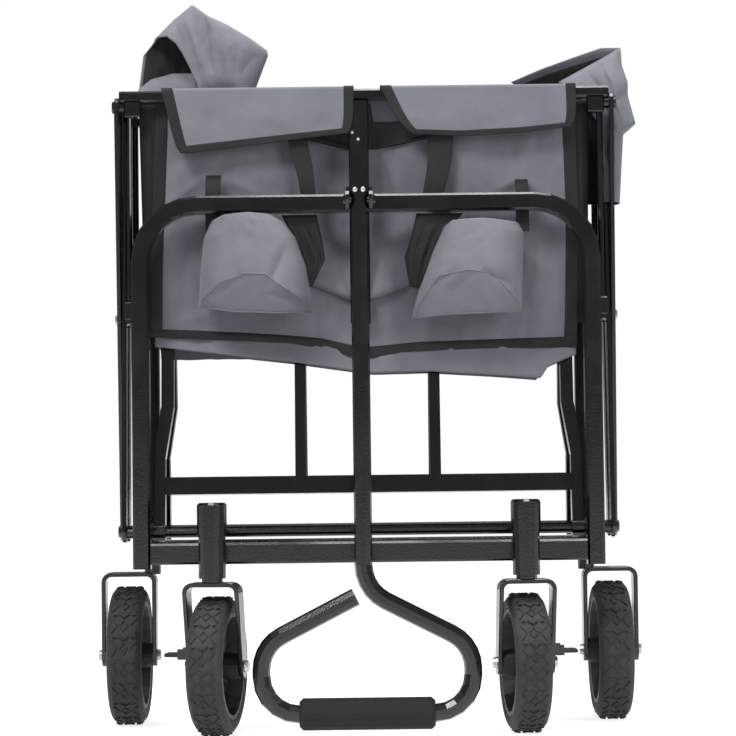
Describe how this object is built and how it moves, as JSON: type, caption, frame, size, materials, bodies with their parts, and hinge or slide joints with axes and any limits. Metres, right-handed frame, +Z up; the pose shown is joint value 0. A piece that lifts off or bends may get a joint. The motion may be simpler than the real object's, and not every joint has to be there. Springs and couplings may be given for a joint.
{
  "type": "folding wagon",
  "caption": "Folding utility wagon, folded: hooped steel frames on wheels joined by a scissor linkage, with a cloth bag, cup pouches and a hinged loop handle.",
  "frame": {"origin": "on the ground, under the middle of the folded wagon's bounding box", "axes": "+X to the right of someone facing the front, +Y from the front frame to the rear frame, +Z up"},
  "size_m": [0.6456, 0.2878, 0.8401],
  "materials": {
    "gloss_black_steel": "gloss",
    "bright_steel": "bright zinc",
    "black_plastic": "satin",
    "hub_plastic": "satin",
    "tyre_rubber": "matte",
    "foam": "matte foam",
    "grey_cloth": "woven polyester"
  },
  "bodies": {
    "front_frame": {"front_hoop": "gloss_black_steel", "front_cross_bar": "gloss_black_steel", "front_pivot_tube": "gloss_black_steel", "handle_bracket": "gloss_black_steel", "cup_pouch_left": "grey_cloth", "cup_pouch_right": "grey_cloth"},
    "front_rail": {"front_top_rail": "gloss_black_steel", "centre_post": "gloss_black_steel", "bag_front_panel": "grey_cloth", "side_bulge_left": "grey_cloth", "side_bulge_right": "grey_cloth", "side_wall_front_left": "grey_cloth", "side_wall_front_right": "grey_cloth", "floor_cloth_front": "grey_cloth"},
    "wall_cloth": {"side_wall_rear_left": "grey_cloth", "side_wall_rear_right": "grey_cloth", "floor_cloth_rear": "grey_cloth"},
    "front_rising_links": {"front_rising_link_left": "gloss_black_steel", "front_rising_link_right": "gloss_black_steel", "middle_top_pin_left": "bright_steel", "middle_top_pin_right": "bright_steel", "front_centre_pin_left": "bright_steel", "front_centre_pin_right": "bright_steel"},
    "front_falling_links": {"front_falling_link_left": "gloss_black_steel", "front_falling_link_right": "gloss_black_steel", "middle_cross_tube": "gloss_black_steel"},
    "rear_falling_links": {"rear_falling_link_left": "gloss_black_steel", "rear_falling_link_right": "gloss_black_steel"},
    "rear_rising_links": {"rear_rising_link_left": "gloss_black_steel", "rear_rising_link_right": "gloss_black_steel", "rear_centre_pin_left": "bright_steel", "rear_centre_pin_right": "bright_steel"},
    "rear_frame": {"rear_hoop": "gloss_black_steel", "rear_cross_bar": "gloss_black_steel", "rear_pivot_tube": "gloss_black_steel", "rear_fork_left": "gloss_black_steel", "rear_fork_right": "gloss_black_steel", "rear_axle_left": "bright_steel", "rear_axle_right": "bright_steel"},
    "rear_rail": {"rear_top_rail": "gloss_black_steel", "bag_rear_panel": "grey_cloth"},
    "floor_front": {"front_floor_frame": "gloss_black_steel"},
    "floor_rear": {"rear_floor_frame": "gloss_black_steel"},
    "caster_left": {"caster_fork_left": "gloss_black_steel", "caster_axle_left": "bright_steel"},
    "caster_right": {"caster_fork_right": "gloss_black_steel", "caster_axle_right": "bright_steel"},
    "front_wheel_left": {"hub_front_left": "hub_plastic", "tyre_front_left": "tyre_rubber"},
    "front_wheel_right": {"hub_front_right": "hub_plastic", "tyre_front_right": "tyre_rubber"},
    "rear_wheel_left": {"hub_rear_left": "hub_plastic", "tyre_rear_left": "tyre_rubber"},
    "rear_wheel_right": {"hub_rear_right": "hub_plastic", "tyre_rear_right": "tyre_rubber"},
    "brake_left": {"brake_lever_left": "black_plastic"},
    "brake_right": {"brake_lever_right": "black_plastic"},
    "handle": {"handle_tube": "gloss_black_steel", "handle_grip": "foam", "handle_pin": "bright_steel"}
  },
  "joints": [
    {"name": "fold", "type": "hinge", "parent": "front_frame", "child": "front_rising_links", "pos_m": [0, -0.03343, 0.229], "axis": [-1, 0, 0], "range_deg": [0, 50]},
    {"name": "front_scissor", "type": "hinge", "parent": "front_rising_links", "child": "front_falling_links", "pos_m": [0, -0.01535, 0.47514], "axis": [-1, 0, 0], "range_deg": [-100.5, 0.5]},
    {"name": "middle_top", "type": "hinge", "parent": "front_rising_links", "child": "rear_falling_links", "pos_m": [0, 0.00272, 0.72127], "axis": [-1, 0, 0], "range_deg": [-100.5, 0.5]},
    {"name": "rear_foot", "type": "hinge", "parent": "rear_falling_links", "child": "rear_frame", "pos_m": [0, 0.03887, 0.229], "axis": [-1, 0, 0], "range_deg": [-0.5, 50.5]},
    {"name": "rear_scissor", "type": "hinge", "parent": "rear_falling_links", "child": "rear_rising_links", "pos_m": [0, 0.0208, 0.47514], "axis": [-1, 0, 0], "range_deg": [-0.5, 100.5]},
    {"name": "rear_rail_pivot", "type": "hinge", "parent": "rear_rising_links", "child": "rear_rail", "pos_m": [0, 0.03887, 0.72127], "axis": [-1, 0, 0], "range_deg": [-50.5, 0.5]},
    {"name": "front_rail_pivot", "type": "hinge", "parent": "front_falling_links", "child": "front_rail", "pos_m": [0, -0.03343, 0.72127], "axis": [-1, 0, 0], "range_deg": [-0.5, 50.5]},
    {"name": "cloth_draw", "type": "slide", "parent": "front_rail", "child": "wall_cloth", "axis": [0, 1, 0], "range_m": [-0.001, 0.731]},
    {"name": "front_floor", "type": "hinge", "parent": "front_frame", "child": "floor_front", "pos_m": [0, -0.03343, 0.229], "axis": [-1, 0, 0], "range_deg": [-0.5, 84.5]},
    {"name": "rear_floor", "type": "hinge", "parent": "rear_frame", "child": "floor_rear", "pos_m": [0, 0.03887, 0.229], "axis": [-1, 0, 0], "range_deg": [-84.5, 0.5]},
    {"name": "handle_swing", "type": "hinge", "parent": "front_frame", "child": "handle", "pos_m": [-0.0065, -0.12043, 0.6], "axis": [-1, 0, 0], "range_deg": [0, 150]},
    {"name": "caster_swivel_left", "type": "hinge", "parent": "front_frame", "child": "caster_left", "pos_m": [-0.177, -0.08473, 0.2], "axis": [0, 0, 1], "range_deg": [-80, 45]},
    {"name": "front_wheel_spin_left", "type": "hinge", "parent": "caster_left", "child": "front_wheel_left", "pos_m": [-0.17387, -0.06497, 0.078], "axis": [0.9877, -0.1564, 0], "continuous": true},
    {"name": "rear_wheel_spin_left", "type": "hinge", "parent": "rear_frame", "child": "rear_wheel_left", "pos_m": [-0.286, 0.06287, 0.081], "axis": [1, 0, 0], "continuous": true},
    {"name": "brake_left", "type": "hinge", "parent": "caster_left", "child": "brake_left", "pos_m": [-0.21269, -0.05883, 0.092], "axis": [-0.1564, -0.9877, 0], "range_deg": [0, 15]},
    {"name": "caster_swivel_right", "type": "hinge", "parent": "front_frame", "child": "caster_right", "pos_m": [0.177, -0.08473, 0.2], "axis": [0, 0, 1], "range_deg": [-165, 80]},
    {"name": "front_wheel_spin_right", "type": "hinge", "parent": "caster_right", "child": "front_wheel_right", "pos_m": [0.17526, -0.0648, 0.078], "axis": [0.9962, 0.0872, 0], "continuous": true},
    {"name": "rear_wheel_spin_right", "type": "hinge", "parent": "rear_frame", "child": "rear_wheel_right", "pos_m": [0.286, 0.06287, 0.081], "axis": [1, 0, 0], "continuous": true},
    {"name": "brake_right", "type": "hinge", "parent": "caster_right", "child": "brake_right", "pos_m": [0.21441, -0.06138, 0.092], "axis": [-0.0872, 0.9962, 0], "range_deg": [0, 15]}
  ],
  "couplings": [
    {"joint": "front_scissor", "follows": "fold", "ratio": -2},
    {"joint": "middle_top", "follows": "fold", "ratio": -2},
    {"joint": "rear_foot", "follows": "fold", "ratio": 1},
    {"joint": "rear_scissor", "follows": "fold", "ratio": 2},
    {"joint": "rear_rail_pivot", "follows": "fold", "ratio": -1},
    {"joint": "front_rail_pivot", "follows": "fold", "ratio": 1},
    {"joint": "cloth_draw", "follows": "fold", "m_per_rad": 0.8347},
    {"joint": "front_floor", "follows": "fold", "ratio": 1.68},
    {"joint": "rear_floor", "follows": "fold", "ratio": -1.68}
  ]
}
